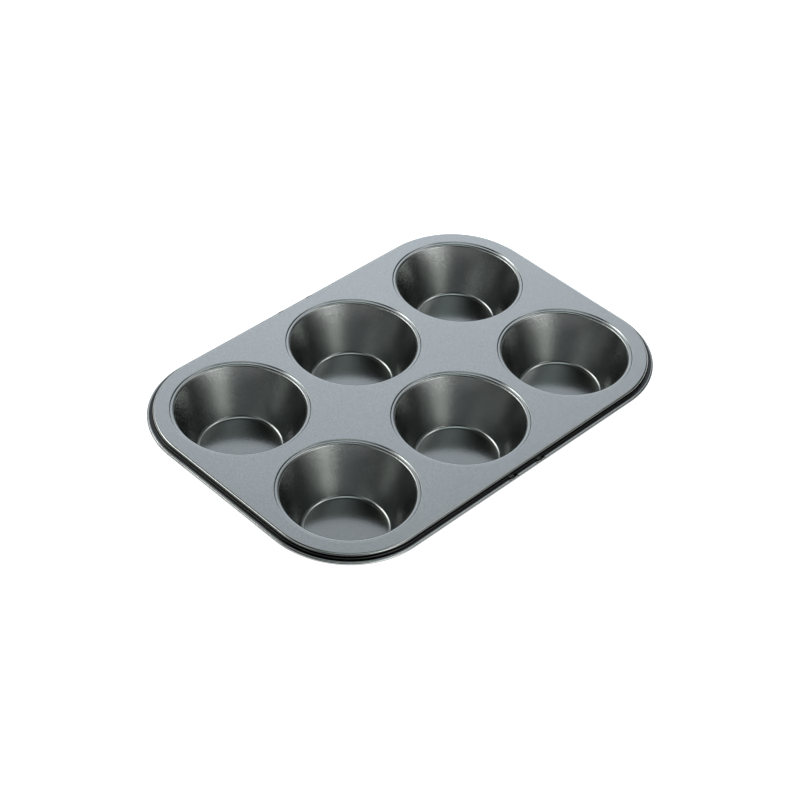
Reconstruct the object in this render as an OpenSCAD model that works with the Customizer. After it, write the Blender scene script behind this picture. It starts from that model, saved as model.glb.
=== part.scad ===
// Muffin pan, pressed from one sheet of coated steel. It stands on the floors of its cups.
// The length runs along X and the width along Y. Z is zero under the cup floors.

/* [Sheet] */
// Thickness of the steel sheet
sheet = 0.5; // [0.4:0.05:0.8]

/* [Cups] */
// Number of cups along the length
columns = 3; // [1:1:5]
// Number of cups along the width
rows = 2; // [1:1:4]
// Diameter of each mouth, across the crest of its rounded lip
mouth_d = 73.6; // [60:0.2:90]
// Diameter of the flat part of each cup floor
floor_d = 44.2; // [30:0.2:50]
// Depth from the deck to the cup floor
cup_depth = 28.8; // [20:0.2:40]
// Inside radius of the bend at the lip
lip_r = 1.2; // [0.8:0.1:2.4]
// Inside radius of the fillet between floor and wall
fillet_r = 2.6; // [1.5:0.1:5]

/* [Ring around each mouth] */
// Width of the flat ring outside the lip
ring_w = 0.5; // [0.3:0.1:2]
// Depth of the ring below the deck
ring_drop = 0.5; // [0.3:0.05:0.7]
// Length over which the sheet steps down to the ring
step_run = 0.9; // [0.9:0.05:1.5]
// Inside radius of both bends in the step
step_r = 0.2; // [0.1:0.02:0.22]

/* [Deck] */
// Flat deck between two cups along the length
web_x = 6.8; // [3:0.2:20]
// Flat deck between two cups along the width
web_y = 7.4; // [3:0.2:20]
// Flat deck between the outer cups and the bend at the deck's edge
margin = 7.2; // [3:0.2:20]

/* [Rim] */
// Inside radius of the bend from the deck to the skirt
edge_r = 0.7; // [0.4:0.1:1.2]
// Depth of the ledge below the deck
skirt_drop = 2.9; // [2.8:0.1:8]
// Inside radius of the bend from the skirt to the ledge
foot_r = 0.5; // [0.3:0.1:0.9]
// Width of the flat ledge
ledge_w = 1.8; // [1.6:0.1:6]
// Inside radius of the rolled edge
roll_r = 0.5; // [0.3:0.1:1.2]

/* [Slots in the ledge] */
// Distance between the two slots on each long side
slot_gap = 20.8; // [12:0.2:60]
// Width of each slot along the rim
slot_w = 2.8; // [1.5:0.1:6]
// How far each slot cuts into the rolled edge, past the flat ledge
slot_bite = 0.4; // [0.2:0.05:0.5]

/* [Hidden] */
// Facets in a full turn, in a preview
$fn = 96;
coating = [0.42, 0.44, 0.45];
// Air that a cut keeps above the sheet
clear = 3;
// Strip of deck that is drawn with each cup and with the rim. The plain deck reaches half-way under it.
collar = 0.5;

// Heights of the sheet's upper face
deck_z = cup_depth + sheet;
ring_z = -ring_drop;
ledge_z = -skirt_drop;

// Centres of the four bends in a cup's section, as distances from its axis and from the deck
floor_c = [floor_d / 2, fillet_r - cup_depth];
lip_c = [mouth_d / 2, ring_z - lip_r - sheet];
foot_c = [mouth_d / 2 + ring_w, ring_z + step_r];
step_c = [foot_c.x + step_run, -step_r - sheet];

// Centres of the bends in the rim's section, as distances outside the deck's edge and from the deck
edge_c = [0, -edge_r - sheet];
skirt_x = edge_r + sheet;
skirt_c = [skirt_x + foot_r, ledge_z + foot_r];
roll_c = [skirt_c.x + ledge_w, ledge_z - roll_r - sheet];

// The deck's corners share their centres with the corner cups
pitch_x = 2 * step_c.x + web_x;
pitch_y = 2 * step_c.x + web_y;
span_x = (columns - 1) * pitch_x;
span_y = (rows - 1) * pitch_y;
corner_r = step_c.x + margin;
plain_r = corner_r - collar / 2;

// Direction square to a straight run that touches two bends on opposite sides, towards the axis.
// The sum of their radii is the same for both faces of the sheet.
function square_to(high, low, radii) =
    let (across = high - low)
    let (tilt = atan2(across.x, across.y) - asin(radii / norm(across)))
    [-cos(tilt), sin(tilt)];

wall_n = square_to(lip_c, floor_c, lip_r + fillet_r + sheet);
step_n = square_to(step_c, foot_c, 2 * step_r + sheet);

// Space above one face of a cup's sheet: depth 0 is its upper face, and depth sheet is its lower face.
// The outline runs through the bend centres, and the bends are added or cut as true circles.
module above(depth, top) {
    difference() {
        union() {
            polygon([
                [0, top],
                [0, -cup_depth - depth],
                [floor_c.x, -cup_depth - depth],
                floor_c,
                floor_c - (fillet_r + depth) * wall_n,
                lip_c + (lip_r + sheet - depth) * wall_n,
                lip_c,
                [lip_c.x, ring_z - depth],
                [foot_c.x, ring_z - depth],
                foot_c,
                foot_c - (step_r + depth) * step_n,
                step_c + (step_r + sheet - depth) * step_n,
                step_c,
                [step_c.x, -depth],
                [step_c.x + collar, -depth],
                [step_c.x + collar, top]
            ]);
            translate(floor_c)
                circle(r = fillet_r + depth);
            translate(foot_c)
                circle(r = step_r + depth);
        }
        translate(lip_c)
            circle(r = lip_r + sheet - depth);
        translate(step_c)
            circle(r = step_r + sheet - depth);
    }
}

// Section through one cup, from its axis to the strip of deck around it
module cup_section() {
    difference() {
        above(sheet, 0);
        above(0, clear);
    }
}

module cup() {
    rotate_extrude()
        cup_section();
}

// Puts a copy at the axis of each cup
module at_cups() {
    for (i = [0:columns - 1])
        for (j = [0:rows - 1])
            translate([i * pitch_x - span_x / 2, j * pitch_y - span_y / 2, 0])
                children();
}

// The flat sheet between the cups, with round corners
module deck() {
    difference() {
        translate([0, 0, -sheet])
            linear_extrude(height = sheet) {
                square([span_x + 2 * plain_r, span_y], center = true);
                square([span_x, span_y + 2 * plain_r], center = true);
                for (x = [-1, 1])
                    for (y = [-1, 1])
                        translate([x * span_x / 2, y * span_y / 2])
                            circle(r = plain_r);
            }
        at_cups()
            translate([0, 0, -2 * sheet])
                cylinder(r = step_c.x + collar / 2, h = 3 * sheet);
    }
}

// A quarter of a bend, on the side that the two signs name
module quarter(inner_r, side) {
    outer_r = inner_r + sheet;
    intersection() {
        difference() {
            circle(r = outer_r);
            circle(r = inner_r);
        }
        translate([min(side.x, 0) * outer_r, min(side.y, 0) * outer_r])
            square(outer_r);
    }
}

// Section of the rim, from the deck's edge outwards
module rim_section() {
    translate([-collar, -sheet])
        square([collar, sheet]);
    translate(edge_c)
        quarter(edge_r, [1, 1]);
    translate([edge_r, skirt_c.y])
        square([sheet, edge_c.y - skirt_c.y]);
    translate(skirt_c)
        quarter(foot_r, [-1, -1]);
    translate([skirt_c.x, ledge_z - sheet])
        square([ledge_w, sheet]);
    translate(roll_c) {
        quarter(roll_r, [1, 1]);
        quarter(roll_r, [1, -1]);
        quarter(roll_r, [-1, -1]);
    }
}

// One straight side of the rim, along the edge that faces the given way
module rim_side(turn, reach, length) {
    rotate(turn)
        translate([reach, length / 2, 0])
            rotate([90, 0, 0])
                linear_extrude(height = length)
                    rim_section();
}

// One round corner of the rim
module rim_corner(turn, centre) {
    translate(centre)
        rotate(turn)
            rotate_extrude(angle = 90)
                translate([corner_r, 0])
                    rim_section();
}

module rim() {
    for (turn = [0, 180]) {
        rim_side(turn, span_x / 2 + corner_r, span_y);
        rim_side(turn + 90, span_y / 2 + corner_r, span_x);
    }
    rim_corner(0, [span_x / 2, span_y / 2, 0]);
    rim_corner(90, [-span_x / 2, span_y / 2, 0]);
    rim_corner(180, [-span_x / 2, -span_y / 2, 0]);
    rim_corner(270, [span_x / 2, -span_y / 2, 0]);
}

// Cuts two slots through the ledge of each long side, and through the top of the rolled edge
module slots() {
    slot_y = span_y / 2 + corner_r + skirt_c.x;
    for (turn = [0, 180])
        for (x = [-1, 1])
            rotate(turn)
                translate([x * slot_gap / 2 - slot_w / 2, slot_y, roll_c.y + roll_r / 2])
                    cube([slot_w, ledge_w + slot_bite, clear]);
}

module pan() {
    color(coating)
        translate([0, 0, deck_z])
            difference() {
                union() {
                    deck();
                    at_cups()
                        cup();
                    rim();
                }
                slots();
            }
}

pan();
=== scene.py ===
"""A muffin pan pressed from one sheet of coated steel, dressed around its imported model.

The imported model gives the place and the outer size. The faces of the sheet are worked out here as smooth
surfaces, and the coating gets its grain, its sparkle and its gloss. All lengths in the classes are
millimetres, and become metres where a mesh is made.
"""
import logging
import math
from dataclasses import dataclass, field
from enum import Enum

import bpy
import numpy as np
from mathutils import Matrix, Vector


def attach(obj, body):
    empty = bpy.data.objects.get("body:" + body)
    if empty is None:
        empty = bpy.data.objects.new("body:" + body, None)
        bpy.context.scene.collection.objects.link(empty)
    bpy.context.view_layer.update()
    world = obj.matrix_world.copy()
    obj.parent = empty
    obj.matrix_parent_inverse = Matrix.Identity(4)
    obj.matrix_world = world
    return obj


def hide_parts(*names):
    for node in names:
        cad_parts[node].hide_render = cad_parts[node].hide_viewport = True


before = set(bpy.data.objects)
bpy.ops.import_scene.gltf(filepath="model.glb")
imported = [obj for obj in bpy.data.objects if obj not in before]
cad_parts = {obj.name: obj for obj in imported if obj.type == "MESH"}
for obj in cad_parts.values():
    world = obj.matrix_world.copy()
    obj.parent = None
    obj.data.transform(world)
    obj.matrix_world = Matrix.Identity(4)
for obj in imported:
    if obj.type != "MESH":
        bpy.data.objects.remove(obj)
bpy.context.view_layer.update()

MM = 0.001
# Differences below this count as none
NEAR = 1e-6
# Where the finishes and their painted shade fade in or out: gaps to the fillet's edge, the mouth's edge, the
# skirt and the ledge
WALL_START = (-1.6, 0.4)
WALL_END = (0.0, -1.4)
FOLD_START = (-0.25, -0.05)
FOLD_END = (-0.1, -0.4)
# Scale of the fine grain over the broad one, and the noise values where a cloud starts and ends
FINE_GRAIN = 2.7
CLOUD_EDGES = (0.3, 0.7)
log = logging.getLogger("muffin_pan")


class Finish(Enum):
    """The finishes of the sheet, in the order of the mesh's material slots."""

    UPPER = 0
    UNDERSIDE = 1
    CUT = 2


@dataclass
class Section:
    """A flat curve along one face of the sheet, with the way that the face looks at each point.

    The curve is drawn so that the open side of the face lies to its left.
    """

    points: list[tuple[float, float]] = field(default_factory=list)
    facing: list[tuple[float, float]] = field(default_factory=list)

    def _add(self, points: np.ndarray, facing: np.ndarray) -> None:
        """Appends points, leaving out the first where it repeats the last one with the same facing."""
        if self.points:
            gap = np.abs(np.subtract(points[0], self.points[-1])).max()
            turn = np.abs(np.subtract(facing[0], self.facing[-1])).max()
            if gap < NEAR and turn < NEAR:
                points, facing = points[1:], facing[1:]
        self.points.extend(map(tuple, points))
        self.facing.extend(map(tuple, facing))

    def run(self, end: tuple[float, float], steps: int = 1) -> "Section":
        """Adds a straight run from the last point.

        Args:
            end: Where the run ends.
            steps: Number of equal steps along it.

        Returns:
            The section itself.
        """
        start = np.array(self.points[-1])
        along = np.subtract(end, start)
        length = np.hypot(*along)
        if length > NEAR:
            share = np.linspace(0, 1, steps + 1)[:, None]
            left = np.array([-along[1], along[0]]) / length
            self._add(start + share * along, np.tile(left, (steps + 1, 1)))
        return self

    def bend(self, centre: tuple[float, float], radius: float, first: float, last: float, steps: int,
             run_steps: int = 1) -> "Section":
        """Adds part of a circle, centre + radius * (cos a, sin a), after a straight run that reaches it.

        Args:
            centre: The circle's centre.
            radius: Its radius.
            first: Angle a where the part starts, in degrees.
            last: Angle where it ends. A falling angle faces away from the centre, a rising one towards it.
            steps: Number of equal steps.
            run_steps: Number of steps of the straight run that reaches it.

        Returns:
            The section itself.
        """
        angle = np.radians(np.linspace(first, last, steps + 1))
        out = np.stack([np.cos(angle), np.sin(angle)], axis=1)
        points = np.asarray(centre) + radius * out
        if self.points:
            self.run(tuple(points[0]), run_steps)
        self._add(points, out * math.copysign(1, first - last))
        return self

    def arrays(self, turned: bool = False) -> tuple[np.ndarray, np.ndarray]:
        """Gives the points and facings as arrays, drawn backwards and facing the other way if turned."""
        points, facing = np.array(self.points), np.array(self.facing)
        return (points[::-1], -facing[::-1]) if turned else (points, facing)


@dataclass
class Grid:
    """A patch of surface: rows along a section and columns along a path, both counted from 0.

    keep says which of its cells become faces. Row by column, the cells look to the section's open side.
    """

    points: np.ndarray
    facing: np.ndarray
    finish: Finish
    keep: np.ndarray | None = None


@dataclass
class Shell:
    """Patches that are joined into one closed mesh.

    Points are welded in cubes of the weld size, whose borders are shifted off the round coordinates.
    """

    weld: float = 1e-4
    shift: float = 0.3137
    grids: list[Grid] = field(default_factory=list)

    def add(self, grid: Grid) -> None:
        """Adds one patch."""
        self.grids.append(grid)

    def _corners(self) -> tuple[np.ndarray, np.ndarray, np.ndarray, np.ndarray]:
        """Lists each cell's four corners in all patches: points, corners' numbers, facings and finish."""
        points, corners, finish = [], [], []
        start = 0
        for grid in self.grids:
            rows, columns = grid.points.shape[:2]
            number = start + np.arange(rows * columns).reshape(rows, columns)
            cells = np.stack([number[:-1, :-1], number[1:, :-1], number[1:, 1:], number[:-1, 1:]], axis=-1)
            if grid.keep is not None:
                cells = cells[grid.keep]
            cells = cells.reshape(-1, 4)
            points.append(grid.points.reshape(-1, 3))
            corners.append(cells)
            finish.append(np.full(len(cells), grid.finish.value))
            start += rows * columns
        facing = np.concatenate([grid.facing.reshape(-1, 3) for grid in self.grids])
        corners = np.concatenate(corners)
        return np.concatenate(points), corners, facing[corners], np.concatenate(finish)

    def mesh(self, name: str) -> bpy.types.Mesh:
        """Welds the patches where they meet and makes the mesh, with each corner's true facing.

        Points that fall in the same small cube become one. A cell that a pole draws to a point loses that
        corner, and a cell with no area is dropped.

        Args:
            name: The mesh's name.

        Returns:
            The mesh, in metres.
        """
        points, corners, facing, finish = self._corners()
        cube = np.floor(points / self.weld + self.shift).astype(np.int64)
        _, first, welded = np.unique(cube, axis=0, return_index=True, return_inverse=True)
        vertices = points[first] * MM
        corners = welded.reshape(-1)[corners]
        real = corners != np.roll(corners, -1, axis=1)
        whole = real.sum(axis=1) >= 3
        real, corners, facing, finish = real[whole], corners[whole], facing[whole], finish[whole]
        sides = real.sum(axis=1)
        loops = corners[real]
        starts = np.concatenate([[0], np.cumsum(sides)[:-1]])

        mesh = bpy.data.meshes.new(name)
        mesh.vertices.add(len(vertices))
        mesh.vertices.foreach_set("co", vertices.astype(np.float32).ravel())
        mesh.loops.add(len(loops))
        mesh.loops.foreach_set("vertex_index", loops.astype(np.int32))
        mesh.polygons.add(len(starts))
        mesh.polygons.foreach_set("loop_start", starts.astype(np.int32))
        mesh.polygons.foreach_set("material_index", finish.astype(np.int32))
        mesh.polygons.foreach_set("use_smooth", np.ones(len(starts), bool))
        mesh.update(calc_edges=True)
        mesh.validate()
        mesh.normals_split_custom_set(facing[real].astype(np.float32))
        self._report(name, loops, starts, sides)
        return mesh

    @staticmethod
    def _report(name: str, loops: np.ndarray, starts: np.ndarray, sides: np.ndarray) -> None:
        """Logs the mesh's size, and how many of its edges don't join exactly two faces."""
        place = np.arange(len(loops)) - np.repeat(starts, sides)
        following = np.where(place + 1 == np.repeat(sides, sides), np.arange(len(loops)) - place,
                             np.arange(len(loops)) + 1)
        edges = np.sort(np.stack([loops, loops[following]], axis=1), axis=1)
        _, uses = np.unique(edges, axis=0, return_counts=True)
        log.info("%s: %d faces, %d triangles, %d open or forked edges", name, len(starts),
                 int((sides - 2).sum()), int((uses != 2).sum()))


def slope(high: tuple[float, float], low: tuple[float, float], radii: float) -> float:
    """Tilt from upright, in degrees, of a straight run that touches two bends on opposite sides.

    It is the tilt of the line between the centres, less the angle whose sine is the sum of the radii over
    the distance between the centres.

    Args:
        high: Centre of the upper bend.
        low: Centre of the lower bend.
        radii: Sum of both radii.

    Returns:
        The tilt in degrees.
    """
    across, up = high[0] - low[0], high[1] - low[1]
    return math.degrees(math.atan2(across, up) - math.asin(radii / math.hypot(across, up)))


@dataclass(frozen=True)
class PanSizes:
    """Sizes of the pressed sheet. Heights are measured from the upper face of the deck."""

    sheet: float = 0.5
    columns: int = 3
    rows: int = 2
    mouth_d: float = 73.6
    floor_d: float = 44.2
    cup_depth: float = 28.8
    lip_r: float = 1.2
    fillet_r: float = 2.6
    ring_w: float = 0.5
    ring_drop: float = 0.5
    step_run: float = 0.9
    step_r: float = 0.2
    web_x: float = 6.8
    web_y: float = 7.4
    margin: float = 7.2
    edge_r: float = 0.7
    skirt_drop: float = 2.9
    foot_r: float = 0.5
    ledge_w: float = 1.8
    roll_r: float = 0.5
    slot_gap: float = 20.8
    slot_w: float = 2.8
    slot_bite: float = 0.4

    @property
    def floor_c(self) -> tuple[float, float]:
        """Centre of the fillet between floor and wall."""
        return self.floor_d / 2, self.fillet_r - self.cup_depth

    @property
    def lip_c(self) -> tuple[float, float]:
        """Centre of the bend at the lip."""
        return self.mouth_d / 2, -self.ring_drop - self.lip_r - self.sheet

    @property
    def foot_c(self) -> tuple[float, float]:
        """Centre of the lower bend of the step."""
        return self.mouth_d / 2 + self.ring_w, self.step_r - self.ring_drop

    @property
    def step_c(self) -> tuple[float, float]:
        """Centre of the upper bend of the step, where the flat deck starts."""
        return self.foot_c[0] + self.step_run, -self.step_r - self.sheet

    @property
    def pitch(self) -> tuple[float, float]:
        """Distance between neighbouring cups along the length and the width."""
        return 2 * self.step_c[0] + self.web_x, 2 * self.step_c[0] + self.web_y

    @property
    def core(self) -> np.ndarray:
        """Half the distances between the outer cups, along the length and the width."""
        return np.array([(self.columns - 1) * self.pitch[0] / 2, (self.rows - 1) * self.pitch[1] / 2])

    @property
    def corner_r(self) -> float:
        """Radius of the flat deck's corners, about the corner cups."""
        return self.step_c[0] + self.margin

    @property
    def deck_height(self) -> float:
        """Height of the deck's upper face above the table."""
        return self.cup_depth + self.sheet


@dataclass
class PressedSheet:
    """The whole pan: deck, cups, rim and slots, as the two faces of one sheet and its cut edges."""

    sizes: PanSizes = field(default_factory=PanSizes)
    turn_step: float = 2.5
    shell: Shell = field(default_factory=Shell)

    def _lift(self, points: np.ndarray) -> np.ndarray:
        """Moves heights that are measured from the deck to heights above the table."""
        return points + np.array([0, 0, self.sizes.deck_height])

    def cup_section(self, depth: float, steps: int) -> Section:
        """Draws half the section of one face of a cup, from its axis to the flat deck.

        Args:
            depth: 0 for the upper face and the sheet's thickness for the lower one.
            steps: Number of steps in the two large bends.

        Returns:
            The section, with distances from the cup's axis.
        """
        sizes = self.sizes
        wall = slope(sizes.lip_c, sizes.floor_c, sizes.lip_r + sizes.fillet_r + sizes.sheet)
        step = slope(sizes.step_c, sizes.foot_c, 2 * sizes.step_r + sizes.sheet)
        small = max(3, steps // 2)
        section = Section([(0.0, -sizes.cup_depth - depth)], [(0.0, 1.0)])
        section.run((sizes.floor_c[0], -sizes.cup_depth - depth), steps=3)
        section.bend(sizes.floor_c, sizes.fillet_r + depth, -90, -wall, steps)
        section.bend(sizes.lip_c, sizes.lip_r + sizes.sheet - depth, 180 - wall, 90, steps, run_steps=4)
        section.bend(sizes.foot_c, sizes.step_r + depth, -90, -step, small)
        return section.bend(sizes.step_c, sizes.step_r + sizes.sheet - depth, 180 - step, 90, small)

    def rim_section(self) -> tuple[Section, dict[str, int]]:
        """Draws the rim's section round both faces, from the deck's upper edge to its lower edge.

        Returns:
            The section, with distances outside the deck's edge, and the rows where the slots start and end
            on the outer face, and on the inner face on the way back.
        """
        sizes = self.sizes
        skirt_x = sizes.edge_r + sizes.sheet
        foot = (skirt_x + sizes.foot_r, sizes.foot_r - sizes.skirt_drop)
        roll = (foot[0] + sizes.ledge_w, -sizes.skirt_drop - sizes.roll_r - sizes.sheet)
        outer, inner = sizes.roll_r + sizes.sheet, sizes.roll_r
        slot_out = math.degrees(math.acos(sizes.slot_bite / outer))
        slot_in = math.degrees(math.acos(sizes.slot_bite / inner))
        edge = (0.0, -sizes.edge_r - sizes.sheet)
        rows = {}

        section = Section()
        section.bend(edge, sizes.edge_r + sizes.sheet, 90, 0, 8)
        section.bend(foot, sizes.foot_r, 180, 270, 6)
        rows["out_start"] = len(section.points) - 1
        section.bend(roll, outer, 90, slot_out, 2, run_steps=2)
        rows["out_end"] = len(section.points) - 1
        section.bend(roll, outer, slot_out, -180, 16)
        section.run((roll[0] - inner, roll[1]))
        section.bend(roll, inner, -180, slot_in, 13)
        rows["in_start"] = len(section.points) - 1
        section.bend(roll, inner, slot_in, 90, 2)
        section.run((foot[0], foot[1] - sizes.foot_r - sizes.sheet), steps=2)
        rows["in_end"] = len(section.points) - 1
        section.bend(foot, sizes.foot_r + sizes.sheet, 270, 180, 6)
        section.bend(edge, sizes.edge_r, 0, 90, 6)
        return section, rows

    def _fan(self, anchors: list[float]) -> np.ndarray:
        """Fills the gaps between sorted angles with equal steps near turn_step, and leaves out the last."""
        gaps = np.diff(anchors)
        counts = np.maximum(1, np.round(gaps / self.turn_step)).astype(int)
        spans = zip(anchors[:-1], anchors[1:], counts)
        return np.concatenate([np.linspace(*span, endpoint=False) for span in spans])

    def cell(self, column: int, row: int) -> tuple[np.ndarray, np.ndarray]:
        """Works out one cell of deck round a cup.

        A ray from the cup's axis meets the cell's straight border at half over cos or sin of its angle,
        whichever is nearer, and a pan's round corner at the corner's radius.

        Args:
            column: The cup's number along the length.
            row: The cup's number along the width.

        Returns:
            The angles of the rays, once round with the first repeated, and the distance to the border on
            each.
        """
        sizes = self.sizes
        outer = {0: column == sizes.columns - 1, 1: row == sizes.rows - 1, 2: column == 0, 3: row == 0}
        half = {side: sizes.corner_r if outer[side] else sizes.pitch[side % 2] / 2 for side in range(4)}
        anchors = [0.0, 90.0, 180.0, 270.0, 360.0]
        for quarter in range(4):
            one, two = quarter, (quarter + 1) % 4
            if not (outer[one] and outer[two]):
                anchors.append(90.0 * quarter + math.degrees(math.atan2(half[two], half[one])))
        if column == (sizes.columns - 1) / 2:
            for side in (1, 3):
                if outer[side]:
                    for edge in (-sizes.slot_w / 2, sizes.slot_w / 2):
                        lean = math.degrees(math.atan2(sizes.slot_gap / 2 + edge, half[side]))
                        anchors += [90.0 * side - lean, 90.0 * side + lean]
        angles = np.append(self._fan(sorted(set(anchors))), 360.0)
        turn = np.radians(angles)
        reach = np.full(len(angles), np.inf)
        with np.errstate(divide="ignore"):
            for side in range(4):
                along = np.cos(turn - side * math.pi / 2)
                reach = np.minimum(reach, np.where(along > NEAR, half[side] / along, np.inf))
        for quarter in range(4):
            if outer[quarter] and outer[(quarter + 1) % 4]:
                inside = (angles >= 90 * quarter) & (angles <= 90 * quarter + 90)
                reach[inside] = sizes.corner_r
        return angles, reach

    def add_cup(self, column: int, row: int) -> np.ndarray:
        """Adds a cup and the deck round it: rings about its axis, carried round by the cell's rays.

        Args:
            column: The cup's number along the length.
            row: The cup's number along the width.

        Returns:
            The border points of the cell's upper face that lie on the deck's outer edge.
        """
        sizes = self.sizes
        centre = np.append(np.multiply((column, row), sizes.pitch) - sizes.core, 0.0)
        angles, reach = self.cell(column, row)
        turn = np.radians(angles)
        ray = np.stack([np.cos(turn), np.sin(turn), np.zeros(len(turn))], axis=1)
        up = np.array([0.0, 0.0, 1.0])
        for depth, steps, finish in ((0.0, 10, Finish.UPPER), (sizes.sheet, 6, Finish.UNDERSIDE)):
            turned = finish is Finish.UNDERSIDE
            points, facing = self.cup_section(depth, steps).arrays(turned)
            place = centre + points[:, 0, None, None] * ray + points[:, 1, None, None] * up
            look = facing[:, 0, None, None] * ray + facing[:, 1, None, None] * up
            self.shell.add(Grid(self._lift(place), look, finish))
            share = np.linspace(0, 1, 3)[:, None]
            distance = sizes.step_c[0] + share * (reach - sizes.step_c[0])
            flat = centre + distance[..., None] * ray - depth * up
            flat = flat[::-1] if turned else flat
            look = np.broadcast_to(-up if turned else up, flat.shape)
            self.shell.add(Grid(self._lift(flat), look, finish))
        border = (centre + reach[:, None] * ray)[:-1, :2]
        gap = np.hypot(*(border - np.clip(border, -sizes.core, sizes.core)).T)
        return border[np.abs(gap - sizes.corner_r) < NEAR]

    def add_rim(self, outline: np.ndarray) -> None:
        """Carries the rim's section round the deck's outer edge, with the slots left open.

        A point of the rim is the outline's point, plus the section's distance along the outline's outward
        direction, plus the section's height. The outward direction is the one from the nearest point of the
        rectangle between the corner cups' axes.

        Args:
            outline: Points of the deck's outer edge, in order, with the first repeated at the end.
        """
        sizes = self.sizes
        core = np.clip(outline, -sizes.core, sizes.core)
        away = np.zeros((len(outline), 3))
        away[:, :2] = (outline - core) / sizes.corner_r
        base = np.column_stack([outline, np.zeros(len(outline))])
        section, rows = self.rim_section()
        points, facing = section.arrays()
        up = np.array([0.0, 0.0, 1.0])
        place = self._lift(base + points[:, 0, None, None] * away + points[:, 1, None, None] * up)
        look = facing[:, 0, None, None] * away + facing[:, 1, None, None] * up

        middle = (outline[:-1] + outline[1:]) / 2
        from_slot = np.abs(np.abs(middle[:, 0]) - sizes.slot_gap / 2)
        open_columns = (from_slot < sizes.slot_w / 2) & (np.abs(middle[:, 1]) > sizes.core[1])
        keep = np.ones((len(points) - 1, len(outline) - 1), bool)
        keep[rows["out_start"]:rows["out_end"], open_columns] = False
        keep[rows["in_start"]:rows["in_end"], open_columns] = False
        free_end = np.flatnonzero((np.abs(np.diff(points[:, 1])) < NEAR) & (points[:-1, 0] < points[1:, 0])
                                  & (points[:-1, 1] < -sizes.skirt_drop - sizes.sheet))
        row = np.arange(len(keep))[:, None]
        self.shell.add(Grid(place, look, Finish.UPPER, keep & (row < free_end[0])))
        self.shell.add(Grid(place, look, Finish.UNDERSIDE, keep & (row > free_end[0])))
        only_end = np.zeros_like(keep)
        only_end[free_end[0]] = True
        self.shell.add(Grid(place, look, Finish.CUT, only_end))
        self._add_slot_walls(place, rows, open_columns)

    def _add_slot_walls(self, place: np.ndarray, rows: dict[str, int], open_columns: np.ndarray) -> None:
        """Joins the two faces of the sheet round each slot with flat walls.

        Args:
            place: The rim's points, row by column.
            rows: The rows where the slots start and end.
            open_columns: For each step along the outline, whether it lies in a slot.
        """
        outer = place[rows["out_start"]:rows["out_end"] + 1]
        inner = place[rows["in_start"]:rows["in_end"] + 1][::-1]
        edges = np.flatnonzero(np.diff(np.concatenate([[0], open_columns.astype(int), [0]])))
        for start, end in edges.reshape(-1, 2):
            for wall in (
                np.stack([outer[:, start], inner[:, start]]),
                np.stack([inner[:, end], outer[:, end]]),
                np.stack([inner[0, start:end + 1], outer[0, start:end + 1]]),
                np.stack([outer[-1, start:end + 1], inner[-1, start:end + 1]]),
            ):
                normal = np.cross(wall[1, 0] - wall[0, 0], wall[0, -1] - wall[0, 0])
                look = np.broadcast_to(normal / np.linalg.norm(normal), wall.shape)
                self.shell.add(Grid(wall, look, Finish.CUT))

    def build(self) -> bpy.types.Object:
        """Builds the whole sheet.

        Returns:
            The pan's object, at the origin.
        """
        sizes = self.sizes
        edge = np.concatenate([self.add_cup(column, row)
                               for column in range(sizes.columns) for row in range(sizes.rows)])
        _, once = np.unique(np.round(edge, 4), axis=0, return_index=True)
        outline = edge[once]
        outline = outline[np.argsort(np.arctan2(outline[:, 1], outline[:, 0]))]
        self.add_rim(np.concatenate([outline, outline[:1]]))
        mesh = self.shell.mesh("pressed_sheet")
        pan = bpy.data.objects.new("pressed_sheet", mesh)
        bpy.context.scene.collection.objects.link(pan)
        return pan


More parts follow.
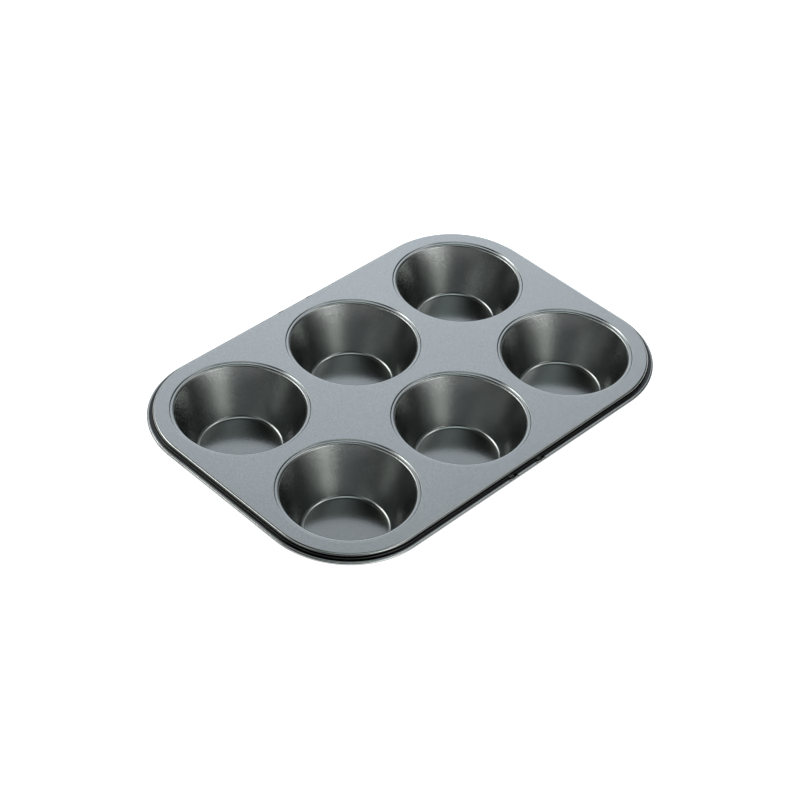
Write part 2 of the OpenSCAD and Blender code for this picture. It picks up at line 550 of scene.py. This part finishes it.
@dataclass
class Nodes:
    """Shorthand for making and linking nodes in one node tree."""

    tree: bpy.types.NodeTree

    def new(self, kind: str, **values: object) -> bpy.types.Node:
        """Makes a node.

        Args:
            kind: The node's type name.
            **values: Properties of the node. A name that is one of its inputs, with spaces as underscores,
                sets that input, or links it where the value is a socket.

        Returns:
            The node.
        """
        node = self.tree.nodes.new(kind)
        for name, value in values.items():
            if hasattr(node, name) and name not in ("inputs", "outputs"):
                setattr(node, name, value)
        for name, value in values.items():
            label = name.replace("_", " ")
            if not hasattr(node, name) and label in node.inputs:
                self.set(node.inputs[label], value)
        return node

    def set(self, socket: bpy.types.NodeSocket, value: object) -> None:
        """Sets an input's value, or links it where the value is a socket."""
        if isinstance(value, bpy.types.NodeSocket):
            self.tree.links.new(value, socket)
        else:
            socket.default_value = value

    def math(self, operation: str, *values: object) -> bpy.types.NodeSocket:
        """Makes a Math node on the values and gives its result."""
        node = self.tree.nodes.new("ShaderNodeMath")
        node.operation = operation
        for socket, value in zip(node.inputs, values):
            self.set(socket, value)
        return node.outputs[0]

    def vector(self, operation: str, *values: object) -> bpy.types.Node:
        """Makes a Vector Math node on the values."""
        node = self.tree.nodes.new("ShaderNodeVectorMath")
        node.operation = operation
        for socket, value in zip(node.inputs, values):
            self.set(socket, value)
        return node

    def scaled(self, vector: object, factor: object) -> bpy.types.NodeSocket:
        """Gives a vector or colour times a factor."""
        node = self.vector("SCALE", vector)
        self.set(node.inputs["Scale"], factor)
        return node.outputs[0]

    def spread(self, value: bpy.types.NodeSocket, low: float, high: float) -> bpy.types.NodeSocket:
        """Spreads a value from 0 to 1 over low to high."""
        return self.new("ShaderNodeMapRange", Value=value, To_Min=low, To_Max=high).outputs["Result"]

    def fade(self, value: bpy.types.NodeSocket, start: object, end: object) -> bpy.types.NodeSocket:
        """Fades smoothly from 0 where the value is start to 1 where it is end."""
        node = self.new("ShaderNodeMapRange", interpolation_type="SMOOTHSTEP", Value=value, From_Min=start,
                        From_Max=end)
        return node.outputs["Result"]

    def length(self, *parts: bpy.types.NodeSocket) -> bpy.types.NodeSocket:
        """Gives the root of the sum of two parts' squares."""
        squares = [self.math("MULTIPLY", part, part) for part in parts]
        return self.math("SQRT", self.math("ADD", *squares))

    def blend(self, share: bpy.types.NodeSocket, one: object, two: object) -> bpy.types.NodeSocket:
        """Mixes two colours, given as sockets or as numbers, by a share of the second."""
        node = self.new("ShaderNodeMix", data_type="RGBA")
        self.set(node.inputs["Factor"], share)
        for socket, colour in ((node.inputs[6], one), (node.inputs[7], two)):
            self.set(socket, colour if isinstance(colour, bpy.types.NodeSocket) else (*colour, 1.0))
        return node.outputs[2]

    def mix(self, share: bpy.types.NodeSocket, one: bpy.types.NodeSocket, two: bpy.types.NodeSocket
            ) -> bpy.types.NodeSocket:
        """Mixes two values by a share of the second."""
        node = self.tree.nodes.new("ShaderNodeMix")
        for socket, value in ((node.inputs[0], share), (node.inputs[2], one), (node.inputs[3], two)):
            self.set(socket, value)
        return node.outputs[0]


def new_material(name: str) -> tuple[bpy.types.Material, Nodes]:
    """Makes an empty material and gives it with its nodes."""
    material = bpy.data.materials.new(name)
    material.use_nodes = True
    material.node_tree.nodes.clear()
    return material, Nodes(material.node_tree)


def toward(azimuth: float, elevation: float) -> Vector:
    """Gives the direction to an azimuth, in degrees to the right from the front, and an elevation."""
    around, above = math.radians(azimuth), math.radians(elevation)
    across = math.cos(above)
    return Vector((math.sin(around) * across, -math.cos(around) * across, math.sin(above)))


def shader_group(name: str, inputs: dict[str, tuple[str, object]], outputs: dict[str, str]
                 ) -> tuple[Nodes, bpy.types.Node, bpy.types.Node]:
    """Starts a shader node group.

    Args:
        name: The group's name.
        inputs: For each input its kind of socket and its default.
        outputs: For each output its kind of socket.

    Returns:
        The group's nodes, its input node and its output node.
    """
    tree = bpy.data.node_groups.new(name, "ShaderNodeTree")
    for label, (kind, default) in inputs.items():
        socket = tree.interface.new_socket(name=label, in_out="INPUT", socket_type=kind)
        if default is not None:
            socket.default_value = default
    for label, kind in outputs.items():
        tree.interface.new_socket(name=label, in_out="OUTPUT", socket_type=kind)
    return Nodes(tree), tree.nodes.new("NodeGroupInput"), tree.nodes.new("NodeGroupOutput")


def peel_group() -> bpy.types.NodeTree:
    """Makes the group for the coating's orange peel: a height that rolls gently, with finer grain on it.

    Returns:
        The group, from a place and a size of the grain to a height.
    """
    nodes, given, made = shader_group(
        "orange_peel",
        {"Place": ("NodeSocketVector", None), "Scale": ("NodeSocketFloat", 900.0),
         "Fine": ("NodeSocketFloat", 0.35)},
        {"Height": "NodeSocketFloat"},
    )
    broad = nodes.new("ShaderNodeTexNoise", Vector=given.outputs["Place"], Scale=given.outputs["Scale"],
                      Detail=1.0, Roughness=0.4)
    fine_scale = nodes.math("MULTIPLY", given.outputs["Scale"], FINE_GRAIN)
    fine = nodes.new("ShaderNodeTexNoise", Vector=given.outputs["Place"], Scale=fine_scale, Detail=1.0,
                     Roughness=0.5)
    height = nodes.math("MULTIPLY_ADD", fine.outputs["Fac"], given.outputs["Fine"], broad.outputs["Fac"])
    nodes.set(made.inputs["Height"], height)
    return nodes.tree


def flake_group() -> bpy.types.NodeTree:
    """Makes the group for the metal flakes in the coating.

    The surface is cut into small cells. Each has a random brightness, and a facing that is the surface's
    own plus a random vector times the spread.

    Returns:
        The group, from a place, a scale and a spread to a brightness and a facing.
    """
    nodes, given, made = shader_group(
        "metal_flakes",
        {"Place": ("NodeSocketVector", None), "Scale": ("NodeSocketFloat", 2500.0),
         "Spread": ("NodeSocketFloat", 0.1)},
        {"Brightness": "NodeSocketFloat", "Facing": "NodeSocketVector"},
    )
    cells = nodes.new("ShaderNodeTexVoronoi", Vector=given.outputs["Place"], Scale=given.outputs["Scale"])
    centred = nodes.vector("SUBTRACT", cells.outputs["Color"], (0.5, 0.5, 0.5))
    lean = nodes.scaled(centred.outputs[0], given.outputs["Spread"])
    surface = nodes.new("ShaderNodeNewGeometry")
    facing = nodes.vector("ADD", surface.outputs["Normal"], lean)
    unit = nodes.vector("NORMALIZE", facing.outputs[0])
    split = nodes.new("ShaderNodeSeparateColor", Color=cells.outputs["Color"])
    nodes.set(made.inputs["Brightness"], split.outputs[0])
    nodes.set(made.inputs["Facing"], unit.outputs[0])
    return nodes.tree


def cloud_group() -> bpy.types.NodeTree:
    """Makes the group for slow changes across the sheet, such as handling marks and uneven spray.

    Returns:
        The group, from a place and a scale to a mask from 0 to 1.
    """
    nodes, given, made = shader_group(
        "uneven_spray",
        {"Place": ("NodeSocketVector", None), "Scale": ("NodeSocketFloat", 25.0)},
        {"Mask": "NodeSocketFloat"},
    )
    cloud = nodes.new("ShaderNodeTexNoise", Vector=given.outputs["Place"], Scale=given.outputs["Scale"],
                      Detail=4.0, Roughness=0.55)
    nodes.set(made.inputs["Mask"], nodes.fade(cloud.outputs["Fac"], *CLOUD_EDGES))
    return nodes.tree


def wall_group(sizes: PanSizes) -> bpy.types.NodeTree:
    """Makes the group for the cup walls, where the press has stretched the sheet and its coating.

    The place is folded onto one cup, and its distance from that cup's axis says whether it is on the wall.

    Args:
        sizes: The pan's sizes.

    Returns:
        The group, from a place to two masks from 0 to 1, one for the wall and one for all inside the lip,
        which
            carries the painted shade in the cups.
    """
    nodes, given, made = shader_group("drawn_wall", {"Place": ("NodeSocketVector", None)},
                                      {"Mask": "NodeSocketFloat", "Inside": "NodeSocketFloat"})
    place = nodes.new("ShaderNodeSeparateXYZ", Vector=given.outputs["Place"])
    half_x, half_y = (pitch / 2 * MM for pitch in sizes.pitch)
    along = nodes.math("WRAP", place.outputs["X"], half_x, -half_x)
    across = nodes.math("SUBTRACT", nodes.math("ABSOLUTE", place.outputs["Y"]), half_y)
    radius = nodes.length(along, across)
    inner, outer = sizes.floor_d / 2 + sizes.fillet_r, sizes.mouth_d / 2
    rise = nodes.fade(radius, *((inner + gap) * MM for gap in WALL_START))
    fall = nodes.fade(radius, *((outer + gap) * MM for gap in WALL_END))
    nodes.set(made.inputs["Mask"], nodes.math("MULTIPLY", rise, fall))
    nodes.set(made.inputs["Inside"], fall)
    return nodes.tree


def painted_fold_shade_group(sizes: PanSizes) -> bpy.types.NodeTree:
    """Makes the group for the fold between skirt and ledge, where the colour is darkened as painted shade.

    The distance outside the deck's edge says whether a place is in the fold. The edge is a rectangle
    between the corner cups' axes, grown by the corner's radius.

    Args:
        sizes: The pan's sizes.

    Returns:
        The group, from a place to a mask from 0 to 1.
    """
    nodes, given, made = shader_group("rim_fold_painted_shade", {"Place": ("NodeSocketVector", None)},
                                      {"Mask": "NodeSocketFloat"})
    place = nodes.new("ShaderNodeSeparateXYZ", Vector=given.outputs["Place"])
    past = []
    for axis, half in zip("XY", sizes.core):
        outside = nodes.math("SUBTRACT", nodes.math("ABSOLUTE", place.outputs[axis]), half * MM)
        past.append(nodes.math("MAXIMUM", outside, 0.0))
    reach = nodes.length(*past)
    skirt = sizes.corner_r + sizes.edge_r + sizes.sheet
    ledge = skirt + sizes.foot_r + sizes.ledge_w
    rise = nodes.fade(reach, *((skirt + gap) * MM for gap in FOLD_START))
    fall = nodes.fade(reach, *((ledge + gap) * MM for gap in FOLD_END))
    nodes.set(made.inputs["Mask"], nodes.math("MULTIPLY", rise, fall))
    return nodes.tree


@dataclass(frozen=True)
class Coating:
    """Grey non-stick coating with metal flakes, on one face of the sheet.

    Its colour is darkened in the cups and in the rim's fold, as painted shade, and it is rougher on the cup
    walls, where the flakes also lean further.
    """

    name: str = "coated_upper"
    colour: tuple[float, float, float] = (0.435, 0.45, 0.445)
    tint: float = 0.02
    flake_light: float = 0.04
    flake_spread: tuple[float, float] = (0.015, 0.055)
    flake_scale: float = 2000.0
    roughness: tuple[float, float] = (0.14, 0.17)
    wall_roughness: tuple[float, float] = (0.235, 0.265)
    # Painted shade: the colour's factor inside the cups
    cup_painted_shade: float = 0.8
    # Painted shade: the colour's factor in the fold between skirt and ledge
    fold_painted_shade: float = 0.12
    peel_scale: float = 1400.0
    peel_height: float = 0.01

    def material(self, peel: bpy.types.NodeTree, flakes: bpy.types.NodeTree, cloud: bpy.types.NodeTree,
                 wall: bpy.types.NodeTree, fold: bpy.types.NodeTree) -> bpy.types.Material:
        """Makes the material.

        Args:
            peel: The orange peel group.
            flakes: The metal flake group.
            cloud: The uneven spray group.
            wall: The drawn wall group.
            fold: The rim fold group, the mask of the painted shade between skirt and ledge.

        Returns:
            The material.
        """
        material, nodes = new_material(self.name)
        place = nodes.new("ShaderNodeTexCoord").outputs["Object"]
        cup = nodes.new("ShaderNodeGroup", node_tree=wall, Place=place)
        drawn = cup.outputs["Mask"]
        spray = nodes.new("ShaderNodeGroup", node_tree=cloud, Place=place)
        grain = nodes.new("ShaderNodeGroup", node_tree=peel, Place=place, Scale=self.peel_scale)
        flake = nodes.new("ShaderNodeGroup", node_tree=flakes, Place=place, Scale=self.flake_scale,
                          Spread=nodes.spread(drawn, *self.flake_spread))
        patch = nodes.spread(spray.outputs["Mask"], 1 - self.tint, 1 + self.tint)
        speck = nodes.spread(flake.outputs["Brightness"], 1 - self.flake_light, 1 + self.flake_light)
        folded = nodes.new("ShaderNodeGroup", node_tree=fold, Place=place).outputs["Mask"]
        shade = nodes.math("MULTIPLY", patch, speck)
        # Painted shade: the colour is darkened in the rim's fold and inside the cups
        for mask, dark in ((folded, self.fold_painted_shade), (cup.outputs["Inside"], self.cup_painted_shade)):
            shade = nodes.math("MULTIPLY", shade, nodes.spread(mask, 1.0, dark))
        colour = nodes.scaled(self.colour, shade)
        bump = nodes.new("ShaderNodeBump", Height=grain.outputs["Height"], Normal=flake.outputs["Facing"])
        bump.inputs["Distance"].default_value = self.peel_height * MM
        shader = nodes.new("ShaderNodeBsdfPrincipled", Metallic=1.0, Normal=bump.outputs["Normal"])
        nodes.set(shader.inputs["Base Color"], colour)
        smooth = nodes.spread(spray.outputs["Mask"], *self.roughness)
        rough = nodes.spread(spray.outputs["Mask"], *self.wall_roughness)
        nodes.set(shader.inputs["Roughness"], nodes.mix(drawn, smooth, rough))
        nodes.new("ShaderNodeOutputMaterial", Surface=shader.outputs["BSDF"])
        return material


@dataclass(frozen=True)
class CutSteel:
    """Steel where the sheet was cut, with faint shear marks, darkened as painted shade so that the slots
    look dark.
    """

    name: str = "cut_steel"
    # Painted shade: the cut faces are darkened so that the slots look dark
    colour: tuple[float, float, float] = (0.10, 0.10, 0.10)
    roughness: tuple[float, float] = (0.35, 0.55)
    mark_scale: float = 1500.0
    mark_shade: tuple[float, float] = (0.8, 1.1)

    def material(self, cloud: bpy.types.NodeTree) -> bpy.types.Material:
        """Makes the material.

        Args:
            cloud: The uneven spray group, used here for the shear marks.

        Returns:
            The material.
        """
        material, nodes = new_material(self.name)
        place = nodes.new("ShaderNodeTexCoord").outputs["Object"]
        marks = nodes.new("ShaderNodeGroup", node_tree=cloud, Place=place, Scale=self.mark_scale)
        shader = nodes.new("ShaderNodeBsdfPrincipled", Metallic=1.0)
        colour = nodes.scaled(self.colour, nodes.spread(marks.outputs["Mask"], *self.mark_shade))
        nodes.set(shader.inputs["Base Color"], colour)
        nodes.set(shader.inputs["Roughness"], nodes.spread(marks.outputs["Mask"], *self.roughness))
        nodes.new("ShaderNodeOutputMaterial", Surface=shader.outputs["BSDF"])
        return material


@dataclass(frozen=True)
class PhotoView:
    """The camera of the photograph, as fitted to the cups' mouths and the rim."""

    azimuth: float = -46.784
    elevation: float = 41.417
    roll: float = 3.635
    distance: float = 1077.8
    target: tuple[float, float] = (-14.72, -10.23)
    focal: float = 1997.06
    image: float = 800.0
    sensor: float = 36.0

    def axes(self) -> tuple[Vector, Vector, Vector]:
        """Works out the camera's right, up and backward directions.

        Returns:
            The three directions, the first two turned by the roll.
        """
        back = toward(self.azimuth, self.elevation)
        right = (-back).cross(Vector((0, 0, 1))).normalized()
        up = right.cross(-back)
        lean = math.radians(self.roll)
        cos, sin = math.cos(lean), math.sin(lean)
        return right * cos + up * sin, up * cos - right * sin, back

    def add(self, height: float) -> None:
        """Adds the camera, aimed at the target at the given height, and makes it the scene's camera."""
        right, up, back = self.axes()
        data = bpy.data.cameras.new("photo_view")
        data.sensor_width = self.sensor
        data.lens = self.focal * self.sensor / self.image
        data.clip_start, data.clip_end = 0.01, 100.0
        camera = bpy.data.objects.new("photo_view", data)
        bpy.context.scene.collection.objects.link(camera)
        target = Vector((*self.target, height)) * MM
        place = Matrix((right, up, back)).transposed().to_4x4()
        place.translation = target + back * self.distance * MM
        camera.matrix_world = place
        bpy.context.scene.camera = camera


@dataclass(frozen=True)
class Softbox:
    """A large diffused studio light, bright in its middle and fading smoothly to its edges.

    Its brightness in a direction falls as exp(-(u / wide)^2 - (v / high)^2), where u and v are the
    direction's shares to the side of and above the light's middle. Brightness 1 shows white in a mirror.
    """

    name: str
    azimuth: float
    elevation: float
    wide: float
    high: float
    brightness: float
    colour: tuple[float, float, float] = (1.0, 1.0, 1.0)

    def glow(self, nodes: Nodes, direction: bpy.types.NodeSocket) -> bpy.types.NodeSocket:
        """Works out the light that comes from a direction.

        Args:
            nodes: The nodes of the surround.
            direction: The direction that is looked into.

        Returns:
            The light's colour in that direction.
        """
        middle = toward(self.azimuth, self.elevation)
        side = toward(self.azimuth + 90.0, 0.0)
        up = middle.cross(side)
        falls = []
        for axis, size in ((side, self.wide), (up, self.high)):
            share = nodes.vector("DOT_PRODUCT", direction, tuple(axis / size)).outputs["Value"]
            falls.append(nodes.math("MULTIPLY", share, share))
        light = nodes.math("EXPONENT", nodes.math("MULTIPLY", nodes.math("ADD", *falls), -1.0))
        ahead = nodes.vector("DOT_PRODUCT", direction, tuple(middle)).outputs["Value"]
        light = nodes.math("MULTIPLY", light, nodes.math("GREATER_THAN", ahead, 0.0))
        glow = nodes.scaled(tuple(channel * self.brightness for channel in self.colour), light)
        glow.node.label = self.name
        return glow


@dataclass
class Studio:
    """Pale floor, and a surround of large soft lights in a dark room, with a bright backdrop behind the pan.

    The floor's painted deep shadow ends between two sums of powers, those of soft_edge on most sides and
    those of crisp_edge in front. crisp_front gives the two places along Y between which the one becomes the
    other.
    """

    floor_size: float = 12.0
    floor_shade: float = 0.75
    floor_lift: float = 0.9
    lift_in_metal: float = 0.8
    deep_shadow: tuple[float, float] = (110.0, 75.7)
    # Colour of the floor deep under the pan, a painted shadow
    painted_shadow_shade: float = 0.06
    soft_edge: tuple[float, float] = (0.45, 1.1)
    crisp_edge: tuple[float, float] = (0.87, 1.0)
    crisp_front: tuple[float, float] = (-30.0, -60.0)
    room: tuple[float, float, float] = (0.01, 0.012, 0.011)
    fill: float = 0.8
    softboxes: tuple[Softbox, ...] = (
        Softbox("backdrop", 137.0, 33.0, 0.40, 0.29, 1.12, (0.93, 1.0, 1.09)),
        Softbox("low_backdrop", 126.0, 12.0, 0.36, 0.17, 1.2, (0.90, 1.0, 1.08)),
        Softbox("high_backdrop", 140.0, 58.0, 0.30, 0.12, 0.25, (1.0, 1.0, 0.80)),
        Softbox("front_low", 4.0, 7.0, 0.52, 0.18, 1.4),
        Softbox("front_high", 0.0, 23.0, 0.30, 0.12, 4.2, (0.97, 1.0, 0.95)),
        Softbox("left_softbox", -92.0, 24.0, 0.22, 0.15, 1.2, (0.97, 1.0, 0.96)),
        Softbox("back_left", -154.0, 39.0, 0.42, 0.12, 6.0, (0.98, 1.0, 0.96)),
        Softbox("low_strip", -60.0, 5.0, 0.35, 0.10, 0.4),
        Softbox("overhead", -15.0, 72.0, 0.50, 0.24, 1.2, (0.88, 1.0, 0.99)),
        Softbox("high_right", 58.0, 58.0, 0.34, 0.09, 2.6),
    )

    def add_floor(self) -> None:
        """Adds the floor: matt, and lifted to white for the camera, so that it only keeps a soft shadow.

        Deep under the pan it isn't lifted, and its colour is darkened to a painted shadow. That place is an
        oval of the
        fourth power: the sum of the fourth powers of its shares of the two half lengths is less than about
        1. It fades in towards its middle, and in front its edge is crisp, so that the floor seen through the
           slots is dark.
        """
        half = self.floor_size / 2
        corners = [(-half, -half, 0), (half, -half, 0), (half, half, 0), (-half, half, 0)]
        mesh = bpy.data.meshes.new("floor")
        mesh.from_pydata(corners, [], [(0, 1, 2, 3)])
        floor = bpy.data.objects.new("floor", mesh)
        bpy.context.scene.collection.objects.link(floor)
        material, nodes = new_material("pale_floor")
        path = nodes.new("ShaderNodeLightPath")
        place = nodes.new("ShaderNodeSeparateXYZ", Vector=nodes.new("ShaderNodeTexCoord").outputs["Object"])
        powers = []
        for axis, size in zip("XY", self.deep_shadow):
            share = nodes.math("DIVIDE", nodes.math("ABSOLUTE", place.outputs[axis]), size * MM)
            powers.append(nodes.math("POWER", share, 4.0))
        front = nodes.fade(place.outputs["Y"], *(limit * MM for limit in self.crisp_front))
        edges = [nodes.spread(front, *pair) for pair in zip(self.soft_edge, self.crisp_edge)]
        past = nodes.fade(nodes.math("ADD", *powers), *edges)
        # Painted shadow: the floor's colour darkens deep under the pan
        shade = nodes.blend(past, (self.painted_shadow_shade,) * 3, (self.floor_shade,) * 3)
        matt = nodes.new("ShaderNodeBsdfDiffuse", Color=shade)
        in_metal = nodes.math("MULTIPLY", path.outputs["Is Glossy Ray"], self.lift_in_metal)
        seen = nodes.math("ADD", in_metal, path.outputs["Is Camera Ray"])
        strength = nodes.math("MULTIPLY", seen, nodes.math("MULTIPLY", past, self.floor_lift))
        lift = nodes.new("ShaderNodeEmission", Strength=strength)
        both = nodes.new("ShaderNodeAddShader")
        nodes.set(both.inputs[0], matt.outputs[0])
        nodes.set(both.inputs[1], lift.outputs[0])
        nodes.new("ShaderNodeOutputMaterial", Surface=both.outputs[0])
        mesh.materials.append(material)

    def add_world(self) -> None:
        """Adds the surround: white to the camera, the studio's lights and backdrop to a reflection, and an
        even soft light on everything matt.
        """
        world = bpy.data.worlds.new("surround")
        bpy.context.scene.world = world
        world.use_nodes = True
        world.node_tree.nodes.clear()
        nodes = Nodes(world.node_tree)
        direction = nodes.new("ShaderNodeTexCoord").outputs["Generated"]
        studio = self.room
        for softbox in self.softboxes:
            studio = nodes.vector("ADD", studio, softbox.glow(nodes, direction)).outputs[0]
        path = nodes.new("ShaderNodeLightPath")
        light = nodes.blend(path.outputs["Is Diffuse Ray"], studio, (self.fill,) * 3)
        plain = nodes.math("MAXIMUM", path.outputs["Is Camera Ray"], path.outputs["Is Transmission Ray"])
        light = nodes.blend(plain, light, (1.0, 1.0, 1.0))
        glow = nodes.new("ShaderNodeBackground", Color=light, Strength=1.0)
        nodes.new("ShaderNodeOutputWorld", Surface=glow.outputs[0])

    def build(self) -> None:
        """Builds the floor and the surround."""
        self.add_floor()
        self.add_world()
        bpy.context.scene.view_settings.view_transform = "Standard"


def dress(pan: bpy.types.Object, sizes: PanSizes) -> None:
    """Gives the sheet its three finishes, in the order of the Finish names."""
    cloud = cloud_group()
    groups = (peel_group(), flake_group(), cloud, wall_group(sizes), painted_fold_shade_group(sizes))
    upper = Coating()
    underside = Coating(name="coated_underside", roughness=(0.28, 0.34), wall_roughness=(0.34, 0.40))
    for material in (upper.material(*groups), underside.material(*groups), CutSteel().material(cloud)):
        pan.data.materials.append(material)


def main() -> None:
    """Builds the pan, its finishes, the studio and the camera."""
    logging.basicConfig(level=logging.INFO, format="%(name)s: %(message)s")
    sheet = PressedSheet()
    pan = sheet.build()
    dress(pan, sheet.sizes)
    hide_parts("pan")
    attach(pan, "root")
    Studio().build()
    PhotoView().add(sheet.sizes.deck_height)


if __name__ == "__main__":
    main()
